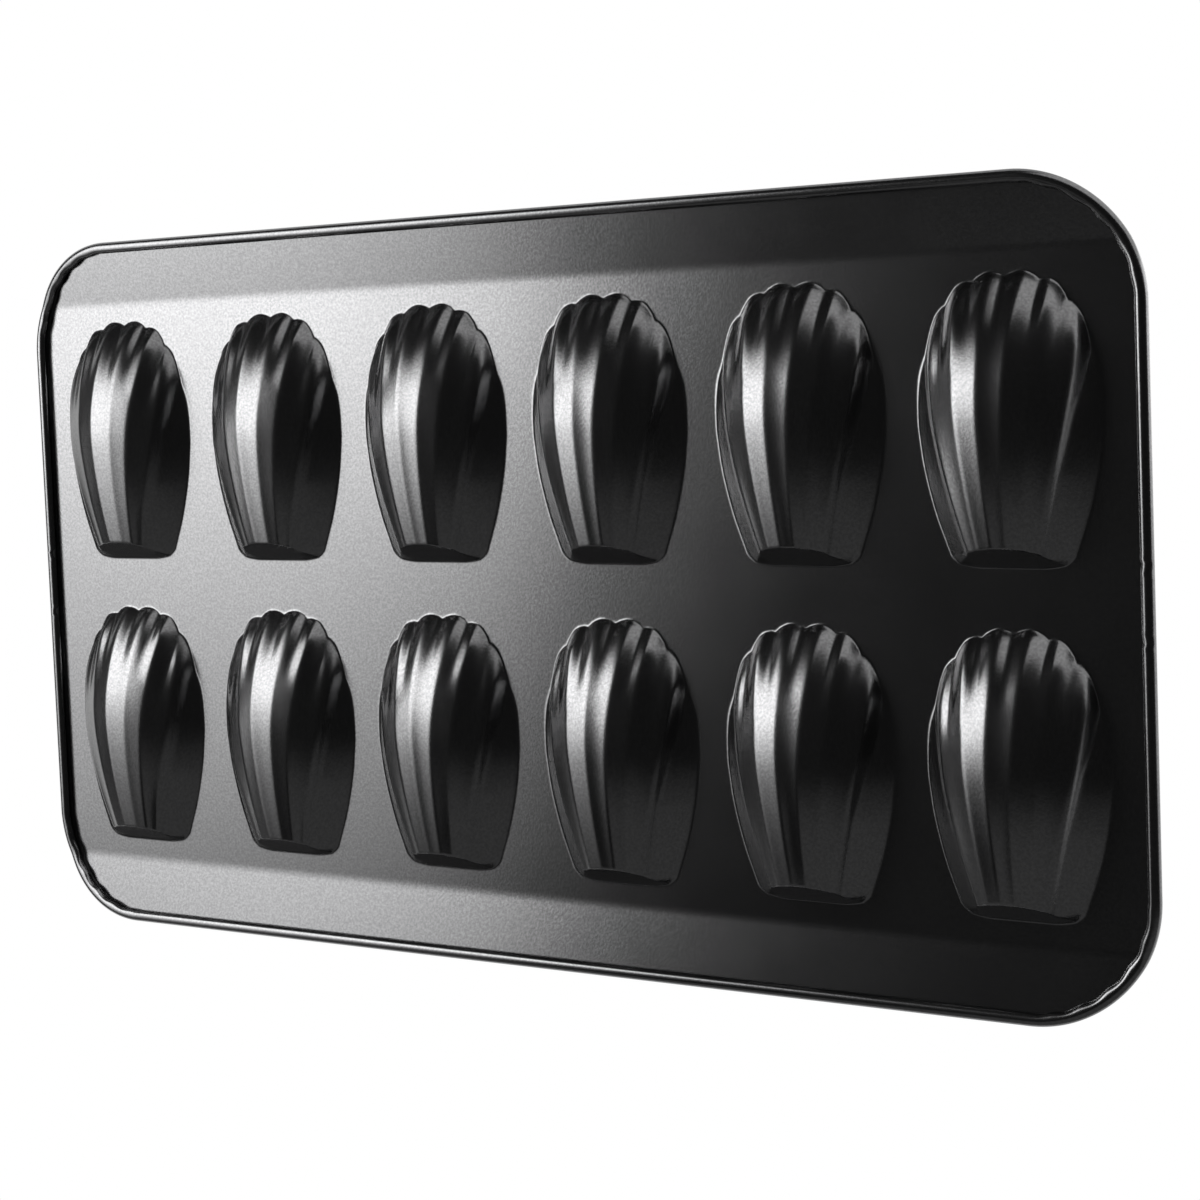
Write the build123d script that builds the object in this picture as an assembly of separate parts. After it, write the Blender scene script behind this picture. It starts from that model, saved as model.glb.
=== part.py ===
from build123d import *
import math
import os

# Madeleine pan in coated sheet steel, cavities hanging down, scalloped ends towards +Y.
# The origin is under the middle of the pan, on the surface that the shells stand on.

# Sheet and overall size, mm
SHEET = 0.8
PAN_LENGTH = 380.0
PAN_WIDTH = 222.0
PAN_CORNER = 35.0
COLUMNS = 6
ROWS = 2
PITCH_X = 60.8
PITCH_Y = 92.8

# Long margins, bent down a little along a line beside the shells
BEND_FROM_MIDDLE = 91.0
BEND_ANGLE = 11.5
BEND_RADIUS = 12.0

# Rim rolled round a wire
WIRE_RADIUS = 0.95
WIRE_PLAY = 0.05
CURL_LAP = 255.0
NOTCH_SPACING = 19.5
NOTCH_WIDTH = 3.6
NOTCH_DEPTH = 1.5

# One shell, measured from its middle, depths measured down from the underside of the deck
SHELL_DEPTH = 14.3
CROWN_Y = 1.5
NARROW_END_Y = -38.0
SCALLOP_END_Y = 38.2
CROWN_POWER = 2.0
TAIL_POWER = 1.75
TAIL_LENGTH = 62.6
WALL_POWER = 0.9
OUTSIDE_LIMIT = 0.6
END_WALL_RUN = 0.62
END_CORNER = 6.5

# Plan of the shell at deck level
WIDEST_Y = 6.0
HALF_WIDTH = 25.7
NARROWING = 0.323
NARROWING_POWER = 1.9
NARROWING_LENGTH = 40.0
SHOULDER_Y = -5.0
CROSS_POWER = 2.8
SHOULDER_POWER = 2.2
LAST_FILL_Y = 37.0

# Flutes: ridges and channels fan out from the narrow end, inside a plain skirt along both sides
FAN_WIDTH = 25.15
FAN_SPREAD = 0.272
RIDGES = (0.134, 0.39, 0.70)
OUTER_BOW = 0.000082
OUTER_BOW_Y = -2.0
RIDGE_DROPS = (0.0, 0.42, 0.45)
CHANNEL_DEPTHS = (0.1, 0.17, 0.5)
FACET_SLOPE = 1.96
SKIRT_SLOPE = 0.95
SKIRT_SHARE = 0.88
SKIRT_BULGE = 0.35
SKIRT_TUCK = 0.022
TUCK_START_Y = 12.0
LOBE_DEPTH = 1.6
LOBE_REACH = 0.75
LOBE_POWER = 1.4
LOBE_START_Y = 2.0
LOBE_FULL_Y = 16.0

# Sections that the shell is lofted through, and how far the trimming shapes pass them
STATIONS = (-44, -38, -32, -26, -18, -9, 0, 8, 14, 18, 22, 26, 30, 33, 36, 39, 43)
CLEAR = 5.0
SLOPE_STEP = 0.05
FOOT_SHARE = 1.1

RIDGE_SHORTFALL = 0.04
UNDERSIDE = SHELL_DEPTH - RIDGE_SHORTFALL
DECK_TOP = UNDERSIDE + SHEET
CURL_INNER = WIRE_RADIUS + WIRE_PLAY
CURL_OUTER = CURL_INNER + SHEET
BEND = math.radians(BEND_ANGLE)
BEND_START = BEND_FROM_MIDDLE - BEND_RADIUS * math.tan(BEND / 2)


def smooth_step(value, low, high):
    t = min(1.0, max(0.0, (value - low) / (high - low)))
    return t * t * (3 - 2 * t)


def half_width(y):
    """Half the width of the shell at deck level, narrowing towards the truncated end."""
    back = max(0.0, WIDEST_Y - y) / NARROWING_LENGTH
    return HALF_WIDTH * (1 - NARROWING * back**NARROWING_POWER)


def fan_width(y):
    """The width that the ridges keep their share of, so that they run straight, like a fan."""
    return FAN_WIDTH + FAN_SPREAD * y


def ridges_at(y):
    """Distances of the three ridges on one side from the middle line; the outer one is bowed."""
    width = fan_width(y)
    outer = RIDGES[2] - OUTER_BOW * (y - OUTER_BOW_Y) ** 2
    return RIDGES[0] * width, RIDGES[1] * width, outer * width


def shoulder(y):
    """How far the plan has closed in towards the scalloped end: 0 beside the crown, 1 at the end."""
    return (max(0.0, y - SHOULDER_Y) / (SCALLOP_END_Y - SHOULDER_Y)) ** SHOULDER_POWER


def plan_level(x, y):
    """1 on the middle line beside the crown, 0 at the plain outline, negative outside."""
    level = 1 - (abs(x) / half_width(y)) ** CROSS_POWER - shoulder(y)
    if level < 0:
        level = -OUTSIDE_LIMIT * (1 - math.exp(level / OUTSIDE_LIMIT))
    return level


def crown_depth(y):
    """Depth along the middle line."""
    if y < CROWN_Y:
        return SHELL_DEPTH * (1 - ((CROWN_Y - y) / TAIL_LENGTH) ** TAIL_POWER)
    return SHELL_DEPTH * (1 - ((y - CROWN_Y) / (SCALLOP_END_Y - CROWN_Y)) ** CROWN_POWER) ** WALL_POWER


def flute(x, y):
    """Drop of the ridges and depth of the channel at x, and the flute: 1 on a ridge, 0 in a channel."""
    edges = (-ridges_at(y)[0],) + ridges_at(y)
    drops = (0.0,) + RIDGE_DROPS
    for index in range(3):
        if x <= edges[index + 1]:
            share = (x - edges[index]) / (edges[index + 1] - edges[index])
            drop = drops[index] + (drops[index + 1] - drops[index]) * share
            return drop, CHANNEL_DEPTHS[index], abs(2 * share - 1)
    return drops[-1], 0.0, 1.0


def fluted_depth(x, y):
    """Depth between the outer ridges: sharp ridges on the crown, round lobes at the scalloped end."""
    level = plan_level(x, y)
    last = min(y, LAST_FILL_Y)
    fill = crown_depth(last) / (1 - shoulder(last)) ** WALL_POWER
    near_edge = min(1.0, max(0.0, 1 - level / LOBE_REACH))
    lobe = near_edge**LOBE_POWER * smooth_step(y, LOBE_START_Y, LOBE_FULL_Y)
    drop, deep, t = flute(x, y)
    crown = -fan_width(y) / FAN_WIDTH * (drop + deep * (1 - t * t))
    wave = lobe * LOBE_DEPTH * (2 * t - t * t - 0.5) + (1 - lobe) * crown
    return fill * math.copysign(abs(level) ** WALL_POWER, level) + wave


def skirt_edge(y):
    """Half the width of the skirt where it meets the deck."""
    closed = max(0.0, 1 - shoulder(min(y, SCALLOP_END_Y)))
    bulge = SKIRT_BULGE * smooth_step(y, LOBE_START_Y, TUCK_START_Y)
    tuck = SKIRT_TUCK * max(0.0, y - TUCK_START_Y) ** 2
    return half_width(y) * closed ** (1 / CROSS_POWER) + bulge - tuck


def skirt_slope(y):
    """Slope of the skirt, eased where it would pass over the outer ridge."""
    if y > CROWN_Y:
        return SKIRT_SLOPE
    ridge = ridges_at(y)[2]
    return min(SKIRT_SLOPE, SKIRT_SHARE * fluted_depth(ridge, y) / (skirt_edge(y) - ridge))


def groove(y):
    """Where the steep facet outside the outer ridge runs into the skirt."""
    ridge = ridges_at(y)[2]
    slope = skirt_slope(y)
    gain = fluted_depth(ridge, y) - slope * (skirt_edge(y) - ridge)
    return ridge + max(0.0, gain) / (FACET_SLOPE - slope)


def depth(x, y):
    """Depth of the shell's outside below the underside of the deck."""
    x = abs(x)
    ridge = ridges_at(y)[2]
    if x <= ridge:
        return fluted_depth(x, y)
    facet = fluted_depth(ridge, y) - FACET_SLOPE * (x - ridge)
    return max(facet, skirt_slope(y) * (skirt_edge(y) - x))


def inner_depth(x, y):
    """Depth of the shell's inside: the outside less one sheet, measured square to the wall."""
    slope_x = (depth(x + SLOPE_STEP, y) - depth(x - SLOPE_STEP, y)) / (2 * SLOPE_STEP)
    slope_y = (depth(x, y + SLOPE_STEP) - depth(x, y - SLOPE_STEP)) / (2 * SLOPE_STEP)
    return depth(x, y) - SHEET * math.sqrt(1 + slope_x**2 + slope_y**2)


def section(y, depth_at):
    """Closed section of a shell at one station: a parabola from each ridge or channel to the next."""
    first, second, outer = ridges_at(y)
    places = [0.0, first, (first + second) / 2, second, (second + outer) / 2, outer, groove(y)]
    places += [max(FOOT_SHARE * fan_width(y), groove(y) + CLEAR)]
    places = [-x for x in reversed(places[1:])] + places
    points = [Vector(x, y, UNDERSIDE - depth_at(x, y)) for x in places]
    edges = []
    for a, b in zip(points, points[1:]):
        x = (a.X + b.X) / 2
        middle = Vector(x, y, UNDERSIDE - depth_at(x, y))
        edges.append(Edge.make_bezier(a, middle * 2 - (a + b) * 0.5, b))
    top = UNDERSIDE + SHELL_DEPTH + CLEAR
    left = Vector(points[0].X, y, top)
    right = Vector(points[-1].X, y, top)
    edges.append(Edge.make_line(points[-1], right))
    edges.append(Edge.make_line(right, left))
    edges.append(Edge.make_line(left, points[0]))
    return Wire(edges)


def end_prism(setback, top):
    """Slanted block that stops a shell at its flat, leaning end wall with rounded corners."""
    y = NARROW_END_Y + setback - END_WALL_RUN * (top - UNDERSIDE)
    corner = half_width(NARROW_END_Y)
    far = SCALLOP_END_Y + 4 * CLEAR
    side = 2 * HALF_WIDTH
    lean = (half_width(NARROW_END_Y + CLEAR) - corner) / CLEAR
    reach = (side - corner) / lean
    sketch = Pos(0, 0, top) * make_face(
        Polyline(
            (-corner, y),
            (corner, y),
            (side, y + reach),
            (side, y + reach + far),
            (-side, y + reach + far),
            (-side, y + reach),
            close=True,
        )
    )
    near = [v for v in sketch.vertices() if abs(v.Y - y) < SLOPE_STEP]
    sketch = fillet(near, END_CORNER)
    run = top + CLEAR
    length = run * math.hypot(1, END_WALL_RUN)
    return extrude(sketch, amount=length, dir=(0, END_WALL_RUN, -1))


def shell_volume(depth_at, setback, top):
    body = Solid.make_loft([section(y, depth_at) for y in STATIONS])
    slab = Pos(0, 0, top / 2) * Box(4 * HALF_WIDTH, 4 * SCALLOP_END_Y, top)
    return body & slab & end_prism(setback, top)


def deck_height(y):
    """Height of the top of the deck, level in the middle and bent down along the long margins."""
    radius = BEND_RADIUS + SHEET
    past = abs(y) - BEND_START
    if past <= 0:
        return DECK_TOP
    arc = radius * math.sin(BEND)
    if past <= arc:
        return DECK_TOP - radius + math.sqrt(radius**2 - past**2)
    return DECK_TOP - radius * (1 - math.cos(BEND)) - (past - arc) * math.tan(BEND)


def margin_profile(height, radius):
    """Line across the pan at the top or underside of the sheet, with the two soft bends."""
    offset = height - UNDERSIDE
    turn = BEND_FROM_MIDDLE + offset * math.tan(BEND / 2)
    edge = PAN_WIDTH / 2 + CLEAR
    low = height - (edge - turn) * math.tan(BEND)
    return FilletPolyline((-edge, low), (-turn, height), (turn, height), (edge, low), radius=radius)


def make_deck(shell_outside):
    with BuildPart() as deck:
        with BuildSketch(Plane.YZ.offset(-PAN_LENGTH / 2)):
            with BuildLine():
                under = margin_profile(UNDERSIDE, BEND_RADIUS)
                over = margin_profile(DECK_TOP, BEND_RADIUS + SHEET)
                Line(under @ 0, over @ 0)
                Line(under @ 1, over @ 1)
            make_face()
        extrude(amount=PAN_LENGTH)
        with BuildSketch():
            inset = 2 * CURL_OUTER
            RectangleRounded(PAN_LENGTH - inset, PAN_WIDTH - inset, PAN_CORNER - CURL_OUTER)
        extrude(amount=2 * DECK_TOP, mode=Mode.INTERSECT)
    sheet = deck.part
    for place in shell_places():
        sheet = sheet - place * shell_outside
    return sheet


def shell_places():
    """Shell positions, row by row from the truncated side, left to right."""
    return [
        Pos((column - (COLUMNS - 1) / 2) * PITCH_X, (row - (ROWS - 1) / 2) * PITCH_Y, 0)
        for row in range(ROWS)
        for column in range(COLUMNS)
    ]


def rim_path():
    """Line that the rim's wire follows, under the edge of the deck, round corners and down bends."""
    half_x = PAN_LENGTH / 2 - CURL_OUTER
    half_y = PAN_WIDTH / 2 - CURL_OUTER
    corner = PAN_CORNER - CURL_OUTER
    steps = 12
    edges = []
    for quarter in range(4):
        sign_x = (1, -1, -1, 1)[quarter]
        sign_y = (1, 1, -1, -1)[quarter]
        points = []
        for step in range(steps + 1):
            angle = math.radians(90 * (quarter + step / steps))
            x = sign_x * (half_x - corner) + corner * math.cos(angle)
            y = sign_y * (half_y - corner) + corner * math.sin(angle)
            points.append(Vector(x, y, deck_height(y) - CURL_OUTER))
        start = math.radians(90 * quarter)
        tangents = [(-math.sin(start), math.cos(start), 0), (-math.cos(start), -math.sin(start), 0)]
        edges.append(Edge.make_spline(points, tangents=tangents))
    sides = [Edge.make_line(a @ 1, b @ 0) for a, b in zip(edges, edges[1:] + edges[:1])]
    return Wire([edge for pair in zip(edges, sides) for edge in pair])


def path_plane(path):
    """Plane square to the rim's path at its start, x outwards and y up."""
    return Plane(origin=path @ 0, x_dir=(1, 0, 0), z_dir=(0, -1, 0))


def make_curl(path):
    with BuildSketch(path_plane(path)) as profile:
        with BuildLine():
            outer = CenterArc((0, 0), CURL_OUTER, 90, -CURL_LAP)
            inner = CenterArc((0, 0), CURL_INNER, 90, -CURL_LAP)
            Line(outer @ 0, inner @ 0)
            Line(outer @ 1, inner @ 1)
        make_face()
    curl = sweep(profile.sketch, path=path, binormal=Pos(0, 0, 4 * CURL_OUTER) * path)
    return curl - notches()


def notches():
    """Vee cuts in the raw edge of the curl, two in the middle of each short side."""
    start = PAN_LENGTH / 2 - 2 * CURL_OUTER
    height = DECK_TOP - CURL_OUTER
    cuts = []
    for side in (-1, 1):
        for y in (-NOTCH_SPACING / 2, NOTCH_SPACING / 2):
            root = Vector(side * (start + NOTCH_DEPTH), y)
            mouth = side * (start - NOTCH_DEPTH)
            half = NOTCH_WIDTH
            vee = make_face(Polyline(root, (mouth, y - half), (mouth, y + half), close=True))
            cuts.append(extrude(Pos(0, 0, height - 2 * CURL_OUTER) * vee, amount=2 * CURL_OUTER))
    return cuts


def make_wire(path):
    with BuildSketch(path_plane(path)) as profile:
        Circle(WIRE_RADIUS)
    return sweep(profile.sketch, path=path, binormal=Pos(0, 0, 4 * CURL_OUTER) * path)


def save(shape, name):
    export_step(shape, f"parts/{name}.step")


os.makedirs("parts", exist_ok=True)
setback = SHEET * math.hypot(1, END_WALL_RUN)
shell_outside = shell_volume(depth, 0, DECK_TOP)
shell = shell_outside - shell_volume(inner_depth, setback, DECK_TOP + SHEET)
path = rim_path()
save(make_deck(shell_outside), "deck")
for number, place in enumerate(shell_places(), start=1):
    save(place * shell, f"mould_shell_{number:02d}")
save(make_curl(path), "rolled_rim")
save(make_wire(path), "rim_wire")
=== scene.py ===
import math

import bmesh
import bpy
from mathutils import Matrix, Vector


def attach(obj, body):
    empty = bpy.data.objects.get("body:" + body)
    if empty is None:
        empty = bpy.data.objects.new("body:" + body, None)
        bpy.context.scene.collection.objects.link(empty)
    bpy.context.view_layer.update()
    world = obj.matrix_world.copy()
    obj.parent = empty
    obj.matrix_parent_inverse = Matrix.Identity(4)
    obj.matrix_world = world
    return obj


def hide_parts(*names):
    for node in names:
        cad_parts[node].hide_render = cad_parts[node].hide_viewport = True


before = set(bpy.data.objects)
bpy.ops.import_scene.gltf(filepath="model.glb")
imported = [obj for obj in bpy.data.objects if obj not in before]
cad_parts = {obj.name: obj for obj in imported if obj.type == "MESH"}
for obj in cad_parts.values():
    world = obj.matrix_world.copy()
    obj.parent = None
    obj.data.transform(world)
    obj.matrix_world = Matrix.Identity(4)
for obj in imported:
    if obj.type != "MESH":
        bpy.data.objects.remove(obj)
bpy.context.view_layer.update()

bl_info = {
    "name": "Madeleine Pan",
    "version": (1, 0, 0),
    "blender": (4, 5, 0),
    "location": "3D View > Sidebar > Pan",
    "description": "Dresses the packed madeleine pan: fluted moulds, bent deck, rolled rim, coating and studio",
    "category": "Object",
}

MM = 0.001
SHELLS = sorted(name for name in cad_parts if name.startswith("mould_shell_"))
COLUMNS = 6
ROWS = 2

# Photographed camera: place and axes in the pan's frame, lens and shift for a square picture
CAMERA_PLACE = (-0.39103, 0.06497, -0.576)
CAMERA_RIGHT = (-0.84628, -0.03901, 0.53130)
CAMERA_UP = (0.00283, 0.99697, 0.07770)
CAMERA_LENS = 72.643
CAMERA_SHIFT = (0.01958, -0.05806)


class PanSizes(bpy.types.PropertyGroup):
    """Sizes of the pan in millimetres, measured from the middle of the pan or of one mould."""

    sheet: bpy.props.FloatProperty(name="Sheet", description="Thickness of the coated sheet", default=0.8, min=0.3, max=2.0)
    length: bpy.props.FloatProperty(name="Length", description="Outside length of the pan", default=380.0)
    width: bpy.props.FloatProperty(name="Width", description="Outside width of the pan", default=222.0)
    corner: bpy.props.FloatProperty(name="Corner radius", description="Outside radius of the pan's corners", default=35.0)
    pitch_x: bpy.props.FloatProperty(name="Column pitch", description="From one mould to the next along the pan", default=60.8)
    pitch_y: bpy.props.FloatProperty(name="Row pitch", description="From one row of moulds to the other", default=92.8)
    underside: bpy.props.FloatProperty(name="Deck height", description="Height of the deck's underside", default=14.26)
    bend_at: bpy.props.FloatProperty(name="Bend line", description="From the middle to the bend of a long margin", default=91.0)
    bend_angle: bpy.props.FloatProperty(name="Bend", description="How far a long margin is bent down, in degrees", default=11.5)
    bend_radius: bpy.props.FloatProperty(name="Bend radius", description="Inside radius of that bend", default=12.0)
    wire_radius: bpy.props.FloatProperty(name="Wire radius", description="Radius of the wire in the rim", default=0.95)
    wire_play: bpy.props.FloatProperty(name="Wire play", description="Gap between wire and roll", default=0.05)
    curl_lap: bpy.props.FloatProperty(name="Roll", description="How far the rim is rolled round, in degrees", default=255.0)
    notch_spacing: bpy.props.FloatProperty(name="Notch spacing", description="Between the two notches of a short side", default=19.5)
    notch_width: bpy.props.FloatProperty(name="Notch width", description="Width of a notch at the raw edge", default=3.6)
    notch_depth: bpy.props.FloatProperty(name="Notch depth", description="Depth of a notch", default=1.5)
    edge_wave: bpy.props.FloatProperty(name="Edge wave", description="Waviness of the raw edge round the corners", default=0.26)
    depth: bpy.props.FloatProperty(name="Mould depth", description="Depth of a mould below the deck", default=14.3)
    end_y: bpy.props.FloatProperty(name="Flat end", description="Where a mould's flat end meets the deck", default=-38.0)
    end_run: bpy.props.FloatProperty(name="End lean", description="Run of the flat end for each unit of depth", default=0.62)
    flutes: bpy.props.FloatVectorProperty(name="Flute depths", description="Depth of the channels, from the middle one outwards", size=3, default=(0.2, 0.2, 0.5))
    facet: bpy.props.FloatProperty(name="Facet slope", description="Slope of the steep facet outside the outer ridge", default=1.96)
    skirt: bpy.props.FloatProperty(name="Skirt slope", description="Slope of the plain skirt along both sides", default=0.95)
    lobe: bpy.props.FloatProperty(name="Lobe depth", description="Height of the lobes at the scalloped end", default=1.6)
    ridge_width: bpy.props.FloatProperty(name="Ridge width", description="Width of the rounding on a ridge", default=1.5)
    fillet: bpy.props.FloatProperty(name="Edge blend", description="Softness of the line between mould and deck", default=0.5)
    border: bpy.props.FloatProperty(name="Border", description="Flat border that a mould keeps round it", default=2.6)


class PanFinish(bpy.types.PropertyGroup):
    """Colours and gloss of the finishes."""

    coat: bpy.props.FloatVectorProperty(name="Coating", description="Colour of the non-stick coating", subtype="COLOR", size=3, default=(0.142, 0.142, 0.144))
    fleck: bpy.props.FloatVectorProperty(name="Flecks", description="Colour of the paler flecks in the coating", subtype="COLOR", size=3, default=(0.188, 0.188, 0.19))
    roughness: bpy.props.FloatProperty(name="Roughness", description="Roughness of the coating", subtype="FACTOR", default=0.2, min=0.0, max=1.0)
    grain: bpy.props.FloatProperty(name="Grain", description="Height of the coating's fine grain", subtype="FACTOR", default=0.08, min=0.0, max=1.0)
    wire: bpy.props.FloatVectorProperty(name="Wire", description="Colour of the bare wire", subtype="COLOR", size=3, default=(0.42, 0.42, 0.43))
    floor: bpy.props.FloatVectorProperty(name="Floor", description="Colour of the studio floor", subtype="COLOR", size=3, default=(0.86, 0.86, 0.86))


def sizes():
    return bpy.context.scene.pan_sizes


def finish_values():
    return bpy.context.scene.pan_finish


# Form of one mould, in millimetres from its middle

CROWN_Y = 1.5
SCALLOP_Y = 38.2
CROWN_POWER = 2.0
TAIL_POWER = 1.75
TAIL_LENGTH = 62.6
WALL_POWER = 0.9
OUTSIDE_LIMIT = 0.6
WIDEST_Y = 6.0
HALF_WIDTH = 25.7
NARROWING = 0.323
NARROWING_POWER = 1.9
NARROWING_LENGTH = 40.0
SHOULDER_Y = -5.0
CROSS_POWER = 2.8
SHOULDER_POWER = 2.2
LAST_FILL_Y = 37.0
FAN_WIDTH = 25.15
FAN_SPREAD = 0.272
RIDGES = (0.134, 0.39, 0.70)
OUTER_BOW = 0.000082
OUTER_BOW_Y = -2.0
RIDGE_DROPS = (0.0, 0.42, 0.45)
SKIRT_BULGE = 0.35
SKIRT_SHARE = 0.88
SKIRT_EASE = 0.26
SKIRT_TUCK = 0.022
TUCK_START_Y = 12.0
LOBE_REACH = 0.75
LOBE_POWER = 1.1
OUTER_LOBE = 1.0
OUTER_LOBE_LEVELS = (0.0, 0.25)
LOBE_START_Y = 2.0
LOBE_FULL_Y = 16.0
SIDE_SPREAD = 0.26
SOFT_STEPS = (-1.0, -0.7, -0.4, -0.15, 0.15, 0.4, 0.7, 1.0)


def smooth_step(value, low, high):
    t = min(1.0, max(0.0, (value - low) / (high - low)))
    return t * t * (3 - 2 * t)


def half_width(y):
    back = max(0.0, WIDEST_Y - y) / NARROWING_LENGTH
    return HALF_WIDTH * (1 - NARROWING * back**NARROWING_POWER)


def fan_width(y):
    return FAN_WIDTH + FAN_SPREAD * y


def ridges_at(y):
    """Distances of the three ridges on one side from the middle line."""
    width = fan_width(y)
    outer = RIDGES[2] - OUTER_BOW * (y - OUTER_BOW_Y) ** 2
    return RIDGES[0] * width, RIDGES[1] * width, outer * width


def shoulder(y):
    return (max(0.0, y - SHOULDER_Y) / (SCALLOP_Y - SHOULDER_Y)) ** SHOULDER_POWER


def plan_level(x, y):
    """1 on the middle line beside the crown, 0 at the plain outline, negative outside."""
    level = 1 - (abs(x) / half_width(y)) ** CROSS_POWER - shoulder(y)
    if level < 0:
        level = -OUTSIDE_LIMIT * (1 - math.exp(level / OUTSIDE_LIMIT))
    return level


def crown_depth(y):
    if y < CROWN_Y:
        return sizes().depth * (1 - ((CROWN_Y - y) / TAIL_LENGTH) ** TAIL_POWER)
    return sizes().depth * (1 - ((y - CROWN_Y) / (SCALLOP_Y - CROWN_Y)) ** CROWN_POWER) ** WALL_POWER


def flute(x, y):
    """Drop of the ridges and depth of the channel at x, and the flute: 1 on a ridge, 0 in a channel."""
    edges = (-ridges_at(y)[0],) + ridges_at(y)
    drops = (0.0,) + RIDGE_DROPS
    for index in range(3):
        if x <= edges[index + 1]:
            share = (x - edges[index]) / (edges[index + 1] - edges[index])
            drop = drops[index] + (drops[index + 1] - drops[index]) * share
            return drop, sizes().flutes[index], abs(2 * share - 1)
    return drops[-1], 0.0, 1.0


def fluted_depth(x, y):
    """Depth between the outer ridges: sharp ridges on the crown, round lobes at the scalloped end."""
    level = plan_level(x, y)
    last = min(y, LAST_FILL_Y)
    fill = crown_depth(last) / (1 - shoulder(last)) ** WALL_POWER
    near_edge = min(1.0, max(0.0, 1 - level / LOBE_REACH))
    lobe = near_edge**LOBE_POWER * smooth_step(y, LOBE_START_Y, LOBE_FULL_Y)
    drop, deep, t = flute(x, y)
    crown = -fan_width(y) / FAN_WIDTH * (drop + deep * (1 - t * t))
    outer = 1 + OUTER_LOBE * smooth_step(x, *ridges_at(y)[:2]) * smooth_step(level, *OUTER_LOBE_LEVELS)
    wave = lobe * sizes().lobe * outer * (2 * t - t * t - 0.5) + (1 - lobe) * crown
    return fill * math.copysign(abs(level) ** WALL_POWER, level) + wave


def skirt_edge(y):
    """Half the width of the skirt where it meets the deck."""
    closed = max(0.0, 1 - shoulder(min(y, SCALLOP_Y)))
    bulge = SKIRT_BULGE * smooth_step(y, LOBE_START_Y, TUCK_START_Y)
    tuck = SKIRT_TUCK * max(0.0, y - TUCK_START_Y) ** 2
    return half_width(y) * closed ** (1 / CROSS_POWER) + bulge - tuck


def skirt_slope(y):
    """Slope of the skirt, eased towards the notch and where it would pass over the outer ridge."""
    if y > CROWN_Y:
        return sizes().skirt * (1 - SKIRT_EASE * smooth_step(y, LOBE_START_Y, TUCK_START_Y))
    ridge = ridges_at(y)[2]
    return min(sizes().skirt, SKIRT_SHARE * fluted_depth(ridge, y) / (skirt_edge(y) - ridge))


def groove(y):
    """Where the steep facet outside the outer ridge runs into the skirt."""
    ridge = ridges_at(y)[2]
    slope = skirt_slope(y)
    gain = fluted_depth(ridge, y) - slope * (skirt_edge(y) - ridge)
    return ridge + max(0.0, gain) / (sizes().facet - slope)


def raw_depth(x, y):
    """Depth of the mould's outside with sharp ridges, before the flat end and the radii."""
    x = abs(x)
    ridge = ridges_at(y)[2]
    if x <= ridge:
        return fluted_depth(x, y)
    facet = fluted_depth(ridge, y) - sizes().facet * (x - ridge)
    return max(facet, skirt_slope(y) * (skirt_edge(y) - x))


def pressed_depth(x, y):
    """The same with the ridges and grooves rounded as the press leaves them."""
    soft = sizes().ridge_width / 2
    return sum(raw_depth(x + soft * t, y) for t in SOFT_STEPS) / len(SOFT_STEPS)


def end_wall(y):
    s = sizes()
    return (y - s.end_y) / s.end_run


def walled(a, b):
    """The shallower of flutes and flat end, softened most near the deck, where the corner is round."""
    low = min(a, b)
    reach = 0.3 + 6.2 * math.exp(-(max(0.0, low) / 3) ** 2)
    gap = max(0.0, reach - abs(a - b))
    return low - gap * gap / (4 * reach)


def sharp_depth(x, y):
    return walled(raw_depth(x, y), end_wall(y))


def mould_depth(x, y):
    return walled(pressed_depth(x, y), end_wall(y))


def blended(depth):
    """Depth with the pressed radius between mould and deck."""
    k = sizes().fillet
    if depth > k:
        return depth
    if depth < -k:
        return 0.0
    return (depth + k) ** 2 / (4 * k)


def solve(f, low, high):
    """Where f falls through zero between low, where it is positive, and high."""
    for _ in range(40):
        middle = (low + high) / 2
        if f(middle) > 0:
            low = middle
        else:
            high = middle
    return (low + high) / 2


def plain_normal(x, y):
    """Outward direction in the deck, of the mould's outline without its scallops."""

    def form(px, py):
        a = sizes().depth * plan_level(px, py)
        b = end_wall(py)
        reach = 9.0
        gap = max(0.0, reach - abs(a - b))
        return min(a, b) - gap * gap / (4 * reach)

    h = 0.1
    gx = form(x + h, y) - form(x - h, y)
    gy = form(x, y + h) - form(x, y - h)
    n = Vector((-gx, -gy))
    return n.normalized()


# Lines of the mould's mesh, as steps from one guide line to the next: the middle line, first ridge,
# channel, second ridge, channel, outer ridge, groove and side; closest together at ridges and radii
LINE_STEPS = (
    (0.3, 0.6, 0.76, 0.88, 1.0),
    (0.06, 0.14, 0.24, 0.4, 0.7, 1.0),
    (0.3, 0.6, 0.76, 0.86, 0.94, 1.0),
    (0.05, 0.11, 0.18, 0.3, 0.5, 0.75, 1.0),
    (0.25, 0.5, 0.7, 0.82, 0.89, 0.95, 1.0),
    (0.08, 0.17, 0.27, 0.4, 0.55, 0.68, 0.78, 0.89, 1.0),
    (0.04, 0.08, 0.13, 0.22, 0.36, 0.5, 0.64, 0.76, 0.85, 0.91, 0.945, 0.967, 0.982, 0.992, 1.0),
)
WALL_STEPS = (0.0, 0.05, 0.1, 0.17, 0.28, 0.45, 0.65, 0.82, 0.93, 0.98)
EDGE_STEPS = (0.0, 0.004, 0.011, 0.022, 0.04)
BODY_ROWS = 56


def guide_lines(y):
    first, second, outer = ridges_at(y)
    side = half_width(y) + SIDE_SPREAD * max(0.0, y - WIDEST_Y)
    return 0.0, first, (first + second) / 2, second, (second + outer) / 2, outer, groove(y), side


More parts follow.
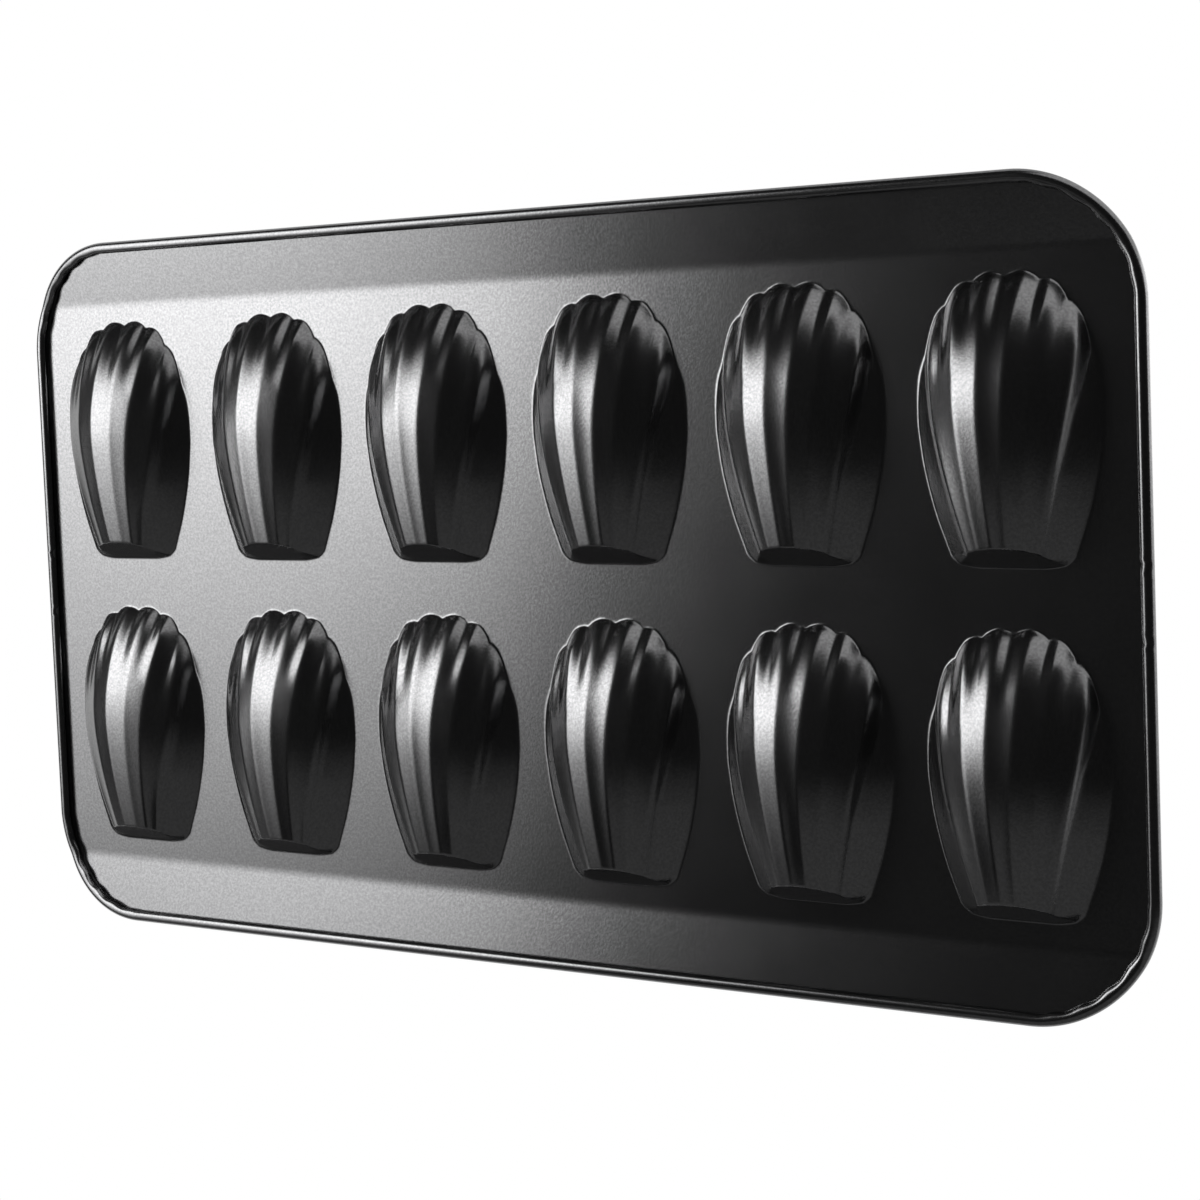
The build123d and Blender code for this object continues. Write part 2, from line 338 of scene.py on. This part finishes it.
def line_x(line, y):
    """Place across the mould, at y, of a line given as guide number and fraction of the way to the next."""
    guides = guide_lines(y)
    index = min(int(abs(line)), len(guides) - 2)
    x = guides[index] + (guides[index + 1] - guides[index]) * (abs(line) - index)
    return math.copysign(x, line)


def mesh_lines():
    lines = [0.0]
    for index, steps in enumerate(LINE_STEPS):
        lines += [index + step for step in steps]
    return [-v for v in reversed(lines[1:])] + lines


def column_rows(line):
    """Distances along one line of the mould, from the flat end's foot over the crest to the scallops."""

    def along(f, low, high):
        return solve(lambda y: f(line_x(line, y), y), low, high)

    foot = along(sharp_depth, -26.0, -43.0)
    top = along(sharp_depth, -9.0, 45.0)
    crest = solve(lambda y: raw_depth(line_x(line, y), y) - end_wall(y), -39.5, -20.0)
    crest = max(crest, foot + 0.4)
    rows = [foot + (crest - foot) * t for t in WALL_STEPS]
    body = list(EDGE_STEPS)
    low, high = EDGE_STEPS[-1], 1 - EDGE_STEPS[-1]
    body += [low + (high - low) * i / BODY_ROWS for i in range(1, BODY_ROWS)]
    body += [1 - t for t in reversed(EDGE_STEPS)]
    return rows + [crest + (top - crest) * t for t in body]


def only(obj):
    """Makes obj the only selected and active object."""
    if bpy.context.object and bpy.context.object.mode != "OBJECT":
        bpy.ops.object.mode_set(mode="OBJECT")
    bpy.ops.object.select_all(action="DESELECT")
    obj.select_set(True)
    bpy.context.view_layer.objects.active = obj


def apply_modifiers(obj):
    only(obj)
    for modifier in list(obj.modifiers):
        bpy.ops.object.modifier_apply(modifier=modifier.name)


def grid(name, across, along):
    """A flat grid of across by along points, which the caller shapes point by point."""
    bpy.ops.object.select_all(action="DESELECT")
    bpy.ops.mesh.primitive_grid_add(x_subdivisions=across - 1, y_subdivisions=along - 1, size=1)
    obj = bpy.context.object
    obj.name = name
    obj.data.name = name
    return obj


def thicken(obj, smooth_angle=50):
    """Gives the formed underside its sheet thickness, upwards, and smooths it."""
    solid = obj.modifiers.new("Sheet", "SOLIDIFY")
    solid.thickness = sizes().sheet * MM
    solid.offset = 1
    solid.use_even_offset = True
    apply_modifiers(obj)
    bpy.ops.object.shade_smooth_by_angle(angle=math.radians(smooth_angle))


def mould_pattern():
    """Underside of one mould about the frame's origin, with its flat border; still without thickness."""
    lines = mesh_lines()
    rows = [column_rows(line) for line in lines]
    count = len(rows[0])
    obj = grid("mould_pattern", len(lines), count)
    mesh = obj.data
    for j in range(count):
        for i, line in enumerate(lines):
            y = rows[i][j]
            x = line_x(line, y)
            z = -blended(mould_depth(x, y))
            mesh.vertices[j * len(lines) + i].co = (x * MM, y * MM, z * MM)
    only(obj)
    bpy.ops.object.mode_set(mode="EDIT")
    bpy.ops.mesh.select_all(action="SELECT")
    bpy.ops.mesh.region_to_loop()
    done = 0.0
    for reach in (0.12, 0.3, 0.55, 0.9, 1.4, sizes().border):
        bpy.ops.mesh.extrude_edges_move()
        bm = bmesh.from_edit_mesh(mesh)
        for v in bm.verts:
            if v.select:
                x, y = v.co.x / MM, v.co.y / MM
                n = plain_normal(x, y)
                x += n.x * (reach - done)
                y += n.y * (reach - done)
                v.co = (x * MM, y * MM, -blended(mould_depth(x, y)) * MM)
        bmesh.update_edit_mesh(mesh)
        done = reach
    bpy.ops.object.mode_set(mode="OBJECT")
    return obj


def loops_of(mesh):
    """Points of the mesh's open edge, in order."""
    counts = {}
    for polygon in mesh.polygons:
        for key in polygon.edge_keys:
            counts[key] = counts.get(key, 0) + 1
    neighbours = {}
    for a, b in (key for key, n in counts.items() if n == 1):
        neighbours.setdefault(a, []).append(b)
        neighbours.setdefault(b, []).append(a)
    start = next(iter(neighbours))
    loop = [start]
    previous = None
    while True:
        step = next(n for n in neighbours[loop[-1]] if n != previous)
        if step == start:
            break
        previous = loop[-1]
        loop.append(step)
    return [mesh.vertices[i].co.copy() for i in loop]


def shell_places():
    s = sizes()
    return [
        Vector(((column - (COLUMNS - 1) / 2) * s.pitch_x, (row - (ROWS - 1) / 2) * s.pitch_y, s.underside)) * MM
        for row in range(ROWS)
        for column in range(COLUMNS)
    ]


def deck_drop(y):
    """How far the deck's top lies below its level middle, from the bends in the long margins."""
    s = sizes()
    bend = math.radians(s.bend_angle)
    radius = s.bend_radius + s.sheet
    past = abs(y) - (s.bend_at - s.bend_radius * math.tan(bend / 2))
    arc = radius * math.sin(bend)
    if past <= 0:
        return 0.0
    if past <= arc:
        return radius - math.sqrt(radius**2 - past**2)
    return radius * (1 - math.cos(bend)) + (past - arc) * math.tan(bend)


def deck_slope(y):
    h = 0.05
    return (deck_drop(abs(y) + h) - deck_drop(abs(y) - h)) / (2 * h)


def curl_outer():
    s = sizes()
    return s.wire_radius + s.wire_play + s.sheet


def outline(inset, corner_steps, side_step):
    """Points and outward directions round the pan's edge, moved in by inset."""
    s = sizes()
    half_x, half_y, radius = s.length / 2 - inset, s.width / 2 - inset, s.corner - inset
    points = []
    corners = ((1, 1, 0), (-1, 1, 90), (-1, -1, 180), (1, -1, 270))
    for sign_x, sign_y, start in corners:
        cx, cy = sign_x * (half_x - radius), sign_y * (half_y - radius)
        for step in range(corner_steps + 1):
            a = math.radians(start + 90 * step / corner_steps)
            points.append((cx + radius * math.cos(a), cy + radius * math.sin(a), math.cos(a), math.sin(a)))
        x, y, nx, ny = points[-1]
        along_x = start in (0, 180)
        run = 2 * (half_x - radius) if along_x else 2 * (half_y - radius)
        count = max(1, round(run / side_step))
        direction = (-ny, nx)
        for step in range(1, count):
            d = run * step / count
            points.append((x + direction[0] * d, y + direction[1] * d, nx, ny))
    return points


class PAN_OT_shells(bpy.types.Operator):
    """Twelve fluted moulds, each with the pressed radius that joins it to the deck"""

    bl_idname = "pan.shells"
    bl_label = "Mould shells"

    def execute(self, context):
        pattern = mould_pattern()
        context.scene["pan_border"] = [c for p in loops_of(pattern.data) for c in p]
        thicken(pattern)
        for v in pattern.data.vertices:
            v.co.z = min(v.co.z, sizes().sheet * MM)
        for name, place in zip(SHELLS, shell_places()):
            mould = bpy.data.objects.new(name.replace("mould_shell", "mould"), pattern.data.copy())
            context.collection.objects.link(mould)
            mould.data.name = mould.name
            mould.data.transform(Matrix.Translation(place))
            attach(mould, "root")
            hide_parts(name)
            mould.data.materials.append(coating())
        bpy.data.objects.remove(pattern)
        return {"FINISHED"}


class PAN_OT_deck(bpy.types.Operator):
    """Flat deck between the moulds, with the long margins bent down"""

    bl_idname = "pan.deck"
    bl_label = "Deck"

    def execute(self, context):
        s = sizes()
        flat = context.scene["pan_border"]
        border = [Vector(flat[i:i + 3]) for i in range(0, len(flat), 3)]
        edge = outline(curl_outer(), 48, 4.0)
        bpy.ops.object.select_all(action="DESELECT")
        bpy.ops.mesh.primitive_circle_add(vertices=len(edge), radius=0.1, fill_type="NOTHING")
        deck = context.object
        deck.name = "deck_sheet"
        deck.data.name = deck.name
        for v, (x, y, _, _) in zip(deck.data.vertices, edge):
            v.co = (x * MM, y * MM, s.underside * MM)
        holes = []
        for place in shell_places():
            bpy.ops.object.select_all(action="DESELECT")
            bpy.ops.mesh.primitive_circle_add(vertices=len(border), radius=0.02, fill_type="NOTHING")
            hole = context.object
            for v, co in zip(hole.data.vertices, border):
                v.co = (co.x + place.x, co.y + place.y, place.z)
            holes.append(hole)
        for hole in holes:
            hole.select_set(True)
        deck.select_set(True)
        context.view_layer.objects.active = deck
        bpy.ops.object.join()
        deck.data.update()
        bpy.ops.object.mode_set(mode="EDIT")
        bpy.ops.mesh.select_all(action="SELECT")
        bpy.ops.mesh.fill(use_beauty=True)
        bend = math.radians(s.bend_angle)
        start = s.bend_at - s.bend_radius * math.tan(bend / 2)
        arc = (s.bend_radius + s.sheet) * math.sin(bend)
        for side in (-1, 1):
            for y in [start - 0.8] + [start + arc * i / 6 for i in range(7)] + [start + arc + 0.8]:
                bpy.ops.mesh.select_all(action="SELECT")
                bpy.ops.mesh.bisect(plane_co=(0, side * y * MM, 0), plane_no=(0, 1, 0))
        bpy.ops.mesh.select_all(action="SELECT")
        bpy.ops.mesh.normals_make_consistent(inside=False)
        bpy.ops.object.mode_set(mode="OBJECT")
        if deck.data.polygons[0].normal.z < 0:
            deck.data.flip_normals()
        for v in deck.data.vertices:
            v.co.z -= deck_drop(v.co.y / MM) * MM
        thicken(deck, 20)
        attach(deck, "root")
        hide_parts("deck")
        deck.data.materials.append(coating())
        return {"FINISHED"}


class PAN_OT_rim(bpy.types.Operator):
    """Rim of the sheet rolled round the wire, with its raw edge, corner waves and notches"""

    bl_idname = "pan.rim"
    bl_label = "Rolled rim"

    def execute(self, context):
        s = sizes()
        outer, inner = curl_outer(), s.wire_radius + s.wire_play
        path = outline(outer, 90, 1.2)
        steps = 26
        lap = s.curl_lap
        around = 2 * (steps + 1)
        rim = grid("rim_roll", around + 1, len(path) + 1)
        half_y, half_x = s.width / 2 - outer, s.length / 2 - outer
        for j in range(len(path) + 1):
            x, y, nx, ny = path[j % len(path)]
            tilt = math.atan(deck_slope(y)) * abs(ny)
            drop = deck_drop(y)
            height = s.underside + s.sheet - drop - outer
            corner = abs(nx * ny) * 2
            turn = math.atan2(ny, nx)
            wave = s.edge_wave * corner**0.5 * math.sin(turn * 24)
            cut = 0.0
            if abs(abs(x) - half_x) < 0.01 and abs(y) < 60:
                for centre in (-s.notch_spacing / 2, s.notch_spacing / 2):
                    cut = max(cut, s.notch_depth * max(0.0, 1 - abs(y - centre) * 2 / s.notch_width))
            end = lap - math.degrees(cut / outer)
            for i in range(around + 1):
                k = i % around
                if k <= steps:
                    radius, t = outer, k / steps
                else:
                    radius, t = inner, 1 - (k - steps - 1) / steps
                a = math.radians(90 - end * t) - tilt
                lift = wave * smooth_step(t, 0.7, 1.0)
                u = (radius + lift) * math.cos(a)
                w = (radius + lift) * math.sin(a)
                rim.data.vertices[j * (around + 1) + i].co = ((x + nx * u) * MM, (y + ny * u) * MM, (height + w) * MM)
        only(rim)
        bpy.ops.object.mode_set(mode="EDIT")
        bpy.ops.mesh.select_all(action="SELECT")
        bpy.ops.mesh.remove_doubles(threshold=1e-7)
        bpy.ops.mesh.normals_make_consistent(inside=False)
        bpy.ops.object.mode_set(mode="OBJECT")
        bpy.ops.object.shade_smooth_by_angle(angle=math.radians(40))
        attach(rim, "root")
        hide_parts("rolled_rim")
        rim.data.materials.append(coating())
        return {"FINISHED"}


class PAN_OT_wire(bpy.types.Operator):
    """Finish of the wire that shows in the notches"""

    bl_idname = "pan.wire"
    bl_label = "Rim wire"

    def execute(self, context):
        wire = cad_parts["rim_wire"]
        wire.data.materials.clear()
        wire.data.materials.append(bare_wire())
        return {"FINISHED"}


# Materials


def speckle_group():
    """Coating texture from object coordinates: a fleck mask, a cloudy mask and a fine height."""
    group = bpy.data.node_groups.get("Coating speckle")
    if group:
        return group
    group = bpy.data.node_groups.new("Coating speckle", "ShaderNodeTree")
    face = group.interface
    for name, kind, value in (("Fleck size", "NodeSocketFloat", 0.0008), ("Cloud size", "NodeSocketFloat", 0.02)):
        face.new_socket(name, in_out="INPUT", socket_type=kind).default_value = value
    for name in ("Flecks", "Clouds", "Height"):
        face.new_socket(name, in_out="OUTPUT", socket_type="NodeSocketFloat")
    nodes, links = group.nodes, group.links
    start = nodes.new("NodeGroupInput")
    end = nodes.new("NodeGroupOutput")
    where = nodes.new("ShaderNodeTexCoord")

    def noise(size_socket, detail, rough):
        scale = nodes.new("ShaderNodeMath")
        scale.operation = "DIVIDE"
        scale.inputs[0].default_value = 1
        links.new(start.outputs[size_socket], scale.inputs[1])
        tex = nodes.new("ShaderNodeTexNoise")
        tex.inputs["Detail"].default_value = detail
        tex.inputs["Roughness"].default_value = rough
        links.new(scale.outputs[0], tex.inputs["Scale"])
        links.new(where.outputs["Object"], tex.inputs["Vector"])
        return tex.outputs["Fac"]

    fine = noise("Fleck size", 2.0, 0.7)
    cloud = noise("Cloud size", 3.0, 0.5)
    flecks = nodes.new("ShaderNodeMapRange")
    flecks.inputs["From Min"].default_value = 0.36
    flecks.inputs["From Max"].default_value = 0.66
    links.new(fine, flecks.inputs["Value"])
    links.new(flecks.outputs[0], end.inputs["Flecks"])
    links.new(cloud, end.inputs["Clouds"])
    links.new(fine, end.inputs["Height"])
    return group


def coating():
    """Dark non-stick coating: satin, with a fine pale fleck and grain."""
    material = bpy.data.materials.get("Non-stick coating")
    if material:
        return material
    f = finish_values()
    material = bpy.data.materials.new("Non-stick coating")
    material.use_nodes = True
    nodes, links = material.node_tree.nodes, material.node_tree.links
    shader = nodes["Principled BSDF"]
    shader.inputs["Metallic"].default_value = 0.98
    shader.inputs["Roughness"].default_value = f.roughness
    speckle = nodes.new("ShaderNodeGroup")
    speckle.node_tree = speckle_group()
    colour = nodes.new("ShaderNodeMix")
    colour.data_type = "RGBA"
    colour.inputs["A"].default_value = (*f.coat, 1)
    colour.inputs["B"].default_value = (*f.fleck, 1)
    links.new(speckle.outputs["Flecks"], colour.inputs["Factor"])
    links.new(colour.outputs["Result"], shader.inputs["Base Color"])
    rough = nodes.new("ShaderNodeMapRange")
    rough.inputs["To Min"].default_value = f.roughness * 0.92
    rough.inputs["To Max"].default_value = f.roughness * 1.12
    links.new(speckle.outputs["Clouds"], rough.inputs["Value"])
    links.new(rough.outputs[0], shader.inputs["Roughness"])
    bump = nodes.new("ShaderNodeBump")
    bump.inputs["Strength"].default_value = f.grain
    bump.inputs["Distance"].default_value = 0.0002
    links.new(speckle.outputs["Height"], bump.inputs["Height"])
    links.new(bump.outputs["Normal"], shader.inputs["Normal"])
    return material


def bare_wire():
    """Drawn steel wire, with faint streaks."""
    f = finish_values()
    material = bpy.data.materials.new("Bare wire")
    material.use_nodes = True
    nodes, links = material.node_tree.nodes, material.node_tree.links
    shader = nodes["Principled BSDF"]
    shader.inputs["Metallic"].default_value = 1.0
    where = nodes.new("ShaderNodeTexCoord")
    noise = nodes.new("ShaderNodeTexNoise")
    noise.inputs["Scale"].default_value = 900
    links.new(where.outputs["Object"], noise.inputs["Vector"])
    colour = nodes.new("ShaderNodeMix")
    colour.data_type = "RGBA"
    colour.inputs["A"].default_value = (*(c * 0.8 for c in f.wire), 1)
    colour.inputs["B"].default_value = (*f.wire, 1)
    links.new(noise.outputs["Fac"], colour.inputs["Factor"])
    links.new(colour.outputs["Result"], shader.inputs["Base Color"])
    rough = nodes.new("ShaderNodeMapRange")
    rough.inputs["To Min"].default_value = 0.3
    rough.inputs["To Max"].default_value = 0.45
    links.new(noise.outputs["Fac"], rough.inputs["Value"])
    links.new(rough.outputs[0], shader.inputs["Roughness"])
    return material


# Stage


def floor_material():
    """Pale floor that only the camera sees, and only from above."""
    material = bpy.data.materials.new("Pale floor")
    material.use_nodes = True
    nodes, links = material.node_tree.nodes, material.node_tree.links
    shader = nodes["Principled BSDF"]
    shader.inputs["Base Color"].default_value = (*finish_values().floor, 1)
    shader.inputs["Roughness"].default_value = 0.7
    clear = nodes.new("ShaderNodeBsdfTransparent")
    path = nodes.new("ShaderNodeLightPath")
    side = nodes.new("ShaderNodeNewGeometry")
    above = nodes.new("ShaderNodeMath")
    above.operation = "SUBTRACT"
    above.use_clamp = True
    links.new(path.outputs["Is Camera Ray"], above.inputs[0])
    links.new(side.outputs["Backfacing"], above.inputs[1])
    mix = nodes.new("ShaderNodeMixShader")
    links.new(above.outputs[0], mix.inputs["Fac"])
    links.new(clear.outputs[0], mix.inputs[1])
    links.new(shader.outputs[0], mix.inputs[2])
    links.new(mix.outputs[0], nodes["Material Output"].inputs["Surface"])
    return material


def studio_world():
    """White to the camera; to the pan, a dim room with white backdrops above and beside it."""
    world = bpy.data.worlds.new("Studio")
    bpy.context.scene.world = world
    world.use_nodes = True
    nodes, links = world.node_tree.nodes, world.node_tree.links
    back = nodes["Background"]

    def math_node(operation, a, b=None, clamp=False):
        node = nodes.new("ShaderNodeMath")
        node.operation = operation
        node.use_clamp = clamp
        for socket, value in zip(node.inputs, (a, b)):
            if value is None:
                continue
            if isinstance(value, (int, float)):
                socket.default_value = value
            else:
                links.new(value, socket)
        return node.outputs[0]

    def ramp(value, start, stop):
        node = nodes.new("ShaderNodeMapRange")
        node.interpolation_type = "SMOOTHSTEP"
        node.inputs["From Min"].default_value = start
        node.inputs["From Max"].default_value = stop
        links.new(value, node.inputs["Value"])
        return node.outputs[0]

    where = nodes.new("ShaderNodeTexCoord")
    split = nodes.new("ShaderNodeSeparateXYZ")
    links.new(where.outputs["Generated"], split.inputs[0])
    x, y, z = split.outputs
    turn = math_node("ARCTAN2", x, math_node("MULTIPLY", z, -1))
    deg = math.radians(1)
    slant = math_node("MULTIPLY", x, 0.12)
    slant = math_node("ADD", slant, math_node("MULTIPLY", y, 0.62))
    slant = math_node("ADD", slant, math_node("MULTIPLY", z, 0.75))
    backdrop = math_node("MULTIPLY", ramp(slant, -0.02, 0.05), ramp(turn, 18 * deg, 12 * deg))
    backdrop = math_node("MULTIPLY", backdrop, 1.2)
    side = math_node("MULTIPLY", ramp(turn, 82 * deg, 93 * deg), ramp(turn, 150 * deg, 130 * deg))
    above = math_node("MULTIPLY", ramp(z, 0.0, 0.25), 0.8)
    strip = math_node("MULTIPLY", ramp(z, 0.05, 0.25), ramp(turn, 18 * deg, 12 * deg))
    strip = math_node("MULTIPLY", strip, math_node("MULTIPLY", ramp(y, -0.25, 0.1), ramp(y, 0.5, 0.3)))
    strip = math_node("MULTIPLY", strip, 3)
    above = math_node("MAXIMUM", above, strip)
    below = math_node("MULTIPLY", ramp(y, -0.2, -0.5), 0.16)
    level = math_node("MAXIMUM", math_node("MAXIMUM", backdrop, side), math_node("MAXIMUM", above, below))
    level = math_node("MAXIMUM", level, 0.022)
    path = nodes.new("ShaderNodeLightPath")
    seen = math_node("ADD", path.outputs["Is Camera Ray"], path.outputs["Is Transmission Ray"], clamp=True)
    mix = nodes.new("ShaderNodeMix")
    mix.data_type = "FLOAT"
    links.new(seen, mix.inputs["Factor"])
    links.new(level, mix.inputs["A"])
    mix.inputs["B"].default_value = 1.0
    links.new(mix.outputs["Result"], back.inputs["Strength"])
    back.inputs["Color"].default_value = (1, 1, 1, 1)


# Brightness of the soft light from its foot to its top, as height in metres and level
LIGHT_LEVELS = (
    (-0.6, 0.15), (-0.35, 0.45), (-0.24, 0.95), (-0.18, 1.5), (-0.13, 2.1), (-0.05, 3.05), (0.03, 4.4),
    (0.1, 5.6), (0.24, 5.9), (0.31, 5.3), (0.37, 3.6), (0.43, 1.6), (0.5, 0.4),
)
# Share of that brightness across the light, from its soft near edge; the edge leans with the height
LIGHT_FADE = ((-0.26, 0.0), (-0.2, 0.05), (-0.155, 0.12), (-0.125, 0.45), (-0.1, 0.7), (-0.035, 0.86), (0.0, 0.97), (0.06, 1.0))
LIGHT_SLANT = 0.2
LIGHT_EDGES = (-0.3, 0.225)


def soft_light():
    """One upright soft light below the pan on one side, fading to its edges; the camera doesn't see it."""
    low, high = LIGHT_LEVELS[0][0], LIGHT_LEVELS[-1][0]
    bpy.ops.object.select_all(action="DESELECT")
    bpy.ops.mesh.primitive_plane_add(size=1)
    light = bpy.context.object
    light.name = "soft_light"
    for v in light.data.vertices:
        v.co = (LIGHT_EDGES[0] if v.co.x < 0 else LIGHT_EDGES[1], low if v.co.y < 0 else high, 0)
    light.matrix_world = Matrix.Translation((0.433, 0, -0.433)) @ Matrix.Rotation(math.radians(-45), 4, "Y")
    material = bpy.data.materials.new("Soft light")
    material.use_nodes = True
    nodes, links = material.node_tree.nodes, material.node_tree.links
    nodes.remove(nodes["Principled BSDF"])
    where = nodes.new("ShaderNodeTexCoord")
    split = nodes.new("ShaderNodeSeparateXYZ")
    links.new(where.outputs["Object"], split.inputs[0])

    def curve(value, profile):
        low, high = profile[0][0], profile[-1][0]
        share = nodes.new("ShaderNodeMapRange")
        share.inputs["From Min"].default_value = low
        share.inputs["From Max"].default_value = high
        links.new(value, share.inputs["Value"])
        shape = nodes.new("ShaderNodeFloatCurve")
        points = shape.mapping.curves[0].points
        top = max(level for t, level in profile)
        places = [((t - low) / (high - low), level / top) for t, level in profile]
        points[0].location = places[0]
        points[1].location = places[-1]
        for place in places[1:-1]:
            points.new(*place)
        shape.mapping.update()
        links.new(share.outputs[0], shape.inputs["Value"])
        return product(shape.outputs[0], top)

    def product(a, b, c=None):
        node = nodes.new("ShaderNodeMath")
        node.operation = "MULTIPLY" if c is None else "MULTIPLY_ADD"
        for socket, value in zip(node.inputs, (a, b, c)):
            if isinstance(value, (int, float)):
                socket.default_value = value
            elif value is not None:
                links.new(value, socket)
        return node.outputs[0]

    leaning = product(split.outputs["Y"], LIGHT_SLANT, split.outputs["X"])
    level = product(curve(split.outputs["Y"], LIGHT_LEVELS), curve(leaning, LIGHT_FADE))
    glow = nodes.new("ShaderNodeEmission")
    links.new(level, glow.inputs["Strength"])
    links.new(glow.outputs[0], nodes["Material Output"].inputs["Surface"])
    light.data.materials.append(material)
    light.visible_camera = False
    light.visible_shadow = False


class PAN_OT_stage(bpy.types.Operator):
    """Floor, soft studio light and the camera at the photographed angle"""

    bl_idname = "pan.stage"
    bl_label = "Studio"

    def execute(self, context):
        bpy.ops.object.select_all(action="DESELECT")
        bpy.ops.mesh.primitive_plane_add(size=6, location=(0, 0, -0.0002))
        floor = context.object
        floor.name = "floor"
        floor.data.materials.append(floor_material())
        studio_world()
        soft_light()
        data = bpy.data.cameras.new("photo_camera")
        camera = bpy.data.objects.new("photo_camera", data)
        context.collection.objects.link(camera)
        right, up = Vector(CAMERA_RIGHT), Vector(CAMERA_UP)
        back = right.cross(up)
        turn = Matrix((right, up, back)).transposed().to_4x4()
        camera.matrix_world = Matrix.Translation(CAMERA_PLACE) @ turn
        data.sensor_width = 36
        data.lens = CAMERA_LENS
        data.shift_x, data.shift_y = CAMERA_SHIFT
        data.clip_start, data.clip_end = 0.01, 20
        context.scene.camera = camera
        context.scene.view_settings.view_transform = "Standard"
        return {"FINISHED"}


class PAN_PT_panel(bpy.types.Panel):
    """Lists the pan's pieces, sizes and finishes"""

    bl_label = "Madeleine pan"
    bl_idname = "PAN_PT_panel"
    bl_space_type = "VIEW_3D"
    bl_region_type = "UI"
    bl_category = "Pan"

    def draw(self, context):
        layout = self.layout
        for operator in OPERATORS:
            layout.operator(operator.bl_idname)
        for group in (context.scene.pan_sizes, context.scene.pan_finish):
            box = layout.box()
            for name in group.__annotations__:
                box.prop(group, name)


OPERATORS = (PAN_OT_shells, PAN_OT_deck, PAN_OT_rim, PAN_OT_wire, PAN_OT_stage)
CLASSES = (PanSizes, PanFinish) + OPERATORS + (PAN_PT_panel,)


def register():
    for cls in CLASSES:
        bpy.utils.register_class(cls)
    bpy.types.Scene.pan_sizes = bpy.props.PointerProperty(type=PanSizes)
    bpy.types.Scene.pan_finish = bpy.props.PointerProperty(type=PanFinish)


def unregister():
    del bpy.types.Scene.pan_finish
    del bpy.types.Scene.pan_sizes
    for cls in reversed(CLASSES):
        bpy.utils.unregister_class(cls)


def main():
    register()
    bpy.ops.pan.shells()
    bpy.ops.pan.deck()
    bpy.ops.pan.rim()
    bpy.ops.pan.wire()
    bpy.ops.pan.stage()


if __name__ == "__main__":
    main()
